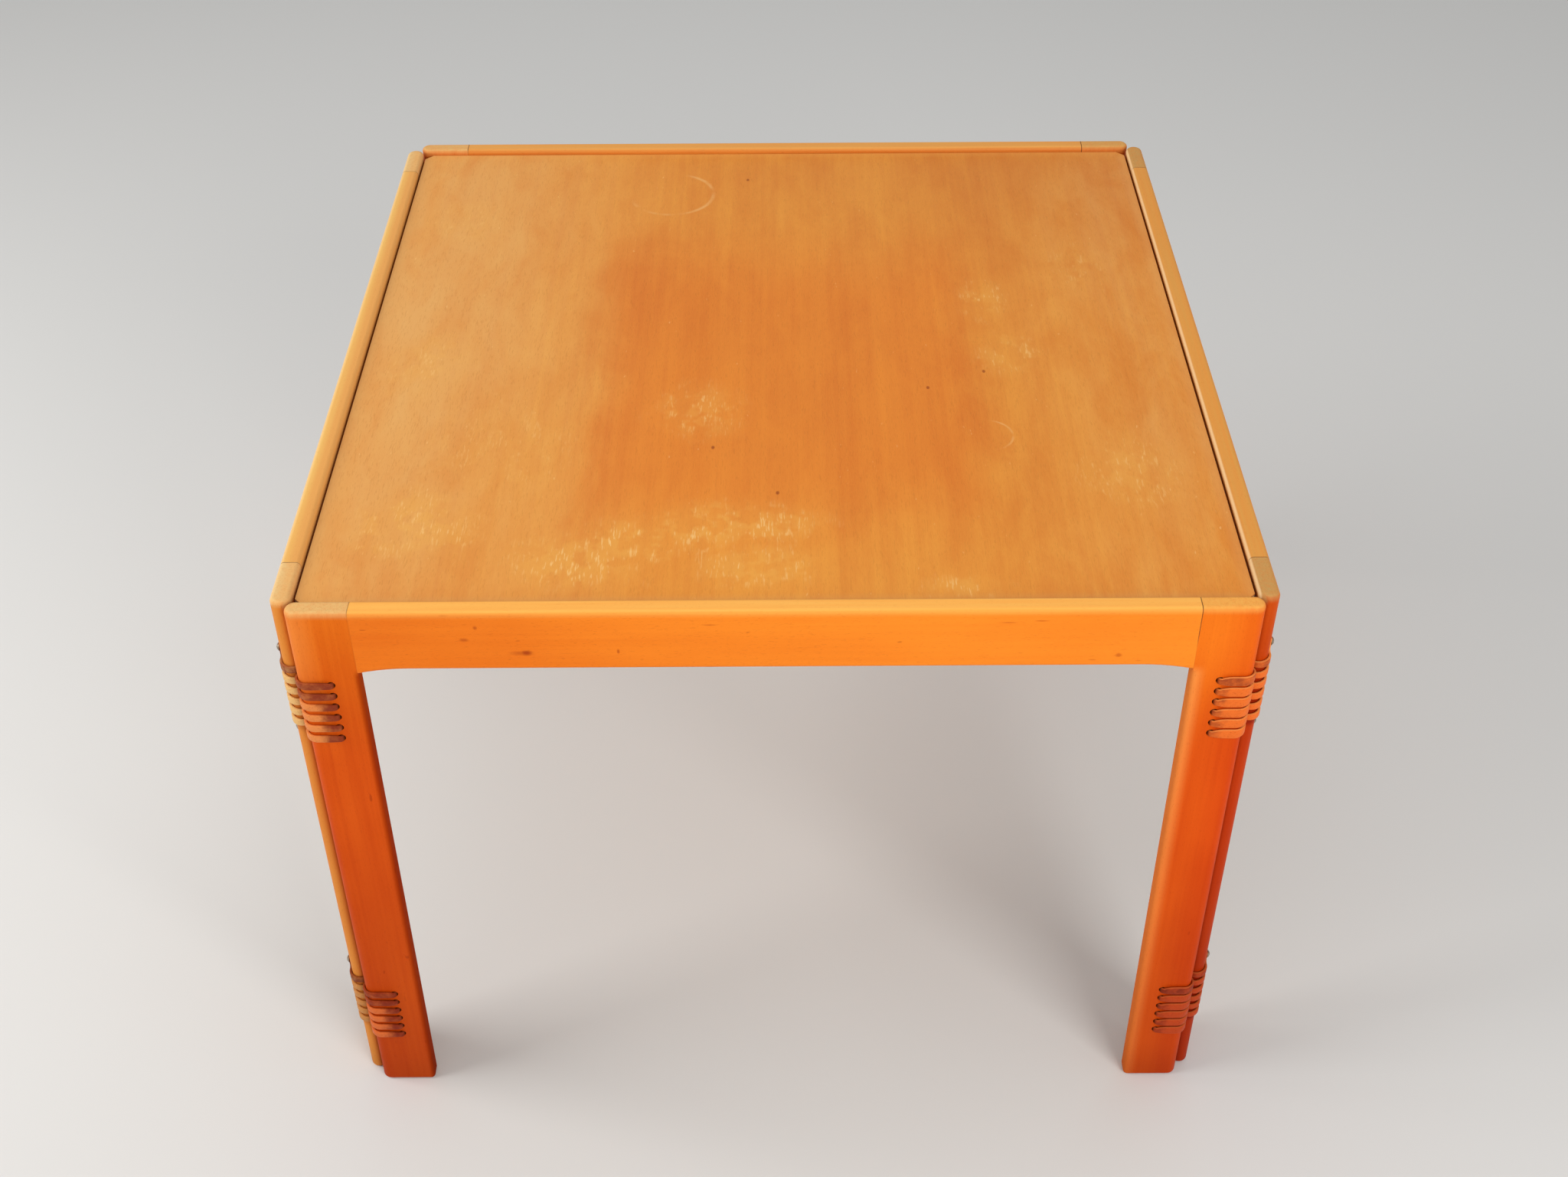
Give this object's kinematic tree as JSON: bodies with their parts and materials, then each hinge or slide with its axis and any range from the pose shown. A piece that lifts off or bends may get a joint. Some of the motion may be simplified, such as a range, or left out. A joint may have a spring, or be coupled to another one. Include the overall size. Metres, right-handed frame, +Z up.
{
  "type": "folding coffee table",
  "caption": "Square wooden coffee table of flat leg frames laced together at the corners with leather thongs, so that it folds flat once its loose recessed top is lifted out.",
  "frame": {"origin": "on the floor at the middle of the square of legs", "axes": "+Z up, -Y out of the front frame's face, +X to the right as seen from the front"},
  "size_m": [0.7032, 0.6988, 0.515],
  "materials": {
    "oiled_beech": "satin",
    "plain_beech": "matte",
    "top_veneer": "satin",
    "board_core": "matte",
    "leather": "worn",
    "tack_steel": "polished",
    "screw_steel": "plain"
  },
  "bodies": {
    "front_frame": {"front_leg_left": "oiled_beech", "front_leg_right": "oiled_beech", "front_rail": "oiled_beech", "front_dowels": "plain_beech", "front_cleat": "plain_beech", "front_cleat_screws": "screw_steel"},
    "left_frame": {"left_leg_front": "oiled_beech", "left_leg_rear": "oiled_beech", "left_rail": "oiled_beech", "left_dowels": "plain_beech", "left_frame_tacks": "tack_steel"},
    "right_frame": {"right_leg_front": "oiled_beech", "right_leg_rear": "oiled_beech", "right_rail": "oiled_beech", "right_dowels": "plain_beech", "right_frame_tacks": "tack_steel"},
    "rear_frame": {"rear_leg_left": "oiled_beech", "rear_leg_right": "oiled_beech", "rear_rail": "oiled_beech", "rear_dowels": "plain_beech", "rear_cleat": "plain_beech", "rear_cleat_screws": "screw_steel"},
    "front_left_lacing": {"lacing_front_left_upper": "leather", "lacing_front_left_lower": "leather"},
    "front_right_lacing": {"lacing_front_right_upper": "leather", "lacing_front_right_lower": "leather"},
    "rear_right_lacing": {"lacing_rear_right_upper": "leather", "lacing_rear_right_lower": "leather"},
    "rear_left_upper_lacing": {"lacing_rear_left_upper": "leather"},
    "rear_left_lower_lacing": {"lacing_rear_left_lower": "leather"},
    "top": {"top_core": "board_core", "top_face_veneer": "top_veneer", "top_back_veneer": "top_veneer"}
  },
  "joints": [
    {"name": "front_left_roll_on_front", "type": "hinge", "parent": "front_frame", "child": "front_left_lacing", "pos_m": [-0.32775, -0.33984, 0], "axis": [0, 0, -1], "range_deg": [0, 43.5], "deforming": ["lacing_front_left_upper", "lacing_front_left_lower"]},
    {"name": "front_left_roll_on_side", "type": "hinge", "parent": "front_left_lacing", "child": "left_frame", "pos_m": [-0.33984, -0.32775, 0], "axis": [0, 0, -1], "range_deg": [0, 43.5]},
    {"name": "front_right_roll_on_front", "type": "hinge", "parent": "front_frame", "child": "front_right_lacing", "pos_m": [0.32775, -0.33984, 0], "axis": [0, 0, -1], "range_deg": [0, 43.5], "deforming": ["lacing_front_right_upper", "lacing_front_right_lower"]},
    {"name": "front_right_roll_on_side", "type": "hinge", "parent": "front_right_lacing", "child": "right_frame", "pos_m": [0.33984, -0.32775, 0], "axis": [0, 0, -1], "range_deg": [0, 43.5]},
    {"name": "rear_right_roll_on_side", "type": "hinge", "parent": "right_frame", "child": "rear_right_lacing", "pos_m": [0.33984, 0.32775, 0], "axis": [0, 0, 1], "range_deg": [0, 43.5], "deforming": ["lacing_rear_right_upper", "lacing_rear_right_lower"]},
    {"name": "rear_right_roll_on_rear", "type": "hinge", "parent": "rear_right_lacing", "child": "rear_frame", "pos_m": [0.32775, 0.33984, 0], "axis": [0, 0, 1], "range_deg": [0, 43.5]},
    {"name": "rear_left_roll_on_side", "type": "hinge", "parent": "left_frame", "child": "rear_left_upper_lacing", "pos_m": [-0.33984, 0.32775, 0], "axis": [0, 0, 1], "range_deg": [0, 43.5], "deforming": ["lacing_rear_left_upper"]},
    {"name": "rear_left_roll_on_rear", "type": "hinge", "parent": "rear_frame", "child": "rear_left_lower_lacing", "pos_m": [-0.32775, 0.33984, 0], "axis": [0, 0, -1], "range_deg": [0, 43.5], "deforming": ["lacing_rear_left_lower"]},
    {"name": "top_lift", "type": "slide", "parent": "front_frame", "child": "top", "axis": [0, 0, 1], "range_m": [0, 0.6]}
  ],
  "couplings": [
    {"joint": "front_left_roll_on_front", "follows": "top_lift", "rad_per_m": 1.2654},
    {"joint": "front_left_roll_on_side", "follows": "top_lift", "rad_per_m": 1.2654},
    {"joint": "front_right_roll_on_front", "follows": "top_lift", "rad_per_m": 1.2654},
    {"joint": "front_right_roll_on_side", "follows": "top_lift", "rad_per_m": 1.2654},
    {"joint": "rear_right_roll_on_side", "follows": "top_lift", "rad_per_m": 1.2654},
    {"joint": "rear_right_roll_on_rear", "follows": "top_lift", "rad_per_m": 1.2654},
    {"joint": "rear_left_roll_on_side", "follows": "top_lift", "rad_per_m": 1.2654},
    {"joint": "rear_left_roll_on_rear", "follows": "top_lift", "rad_per_m": 1.2654}
  ]
}
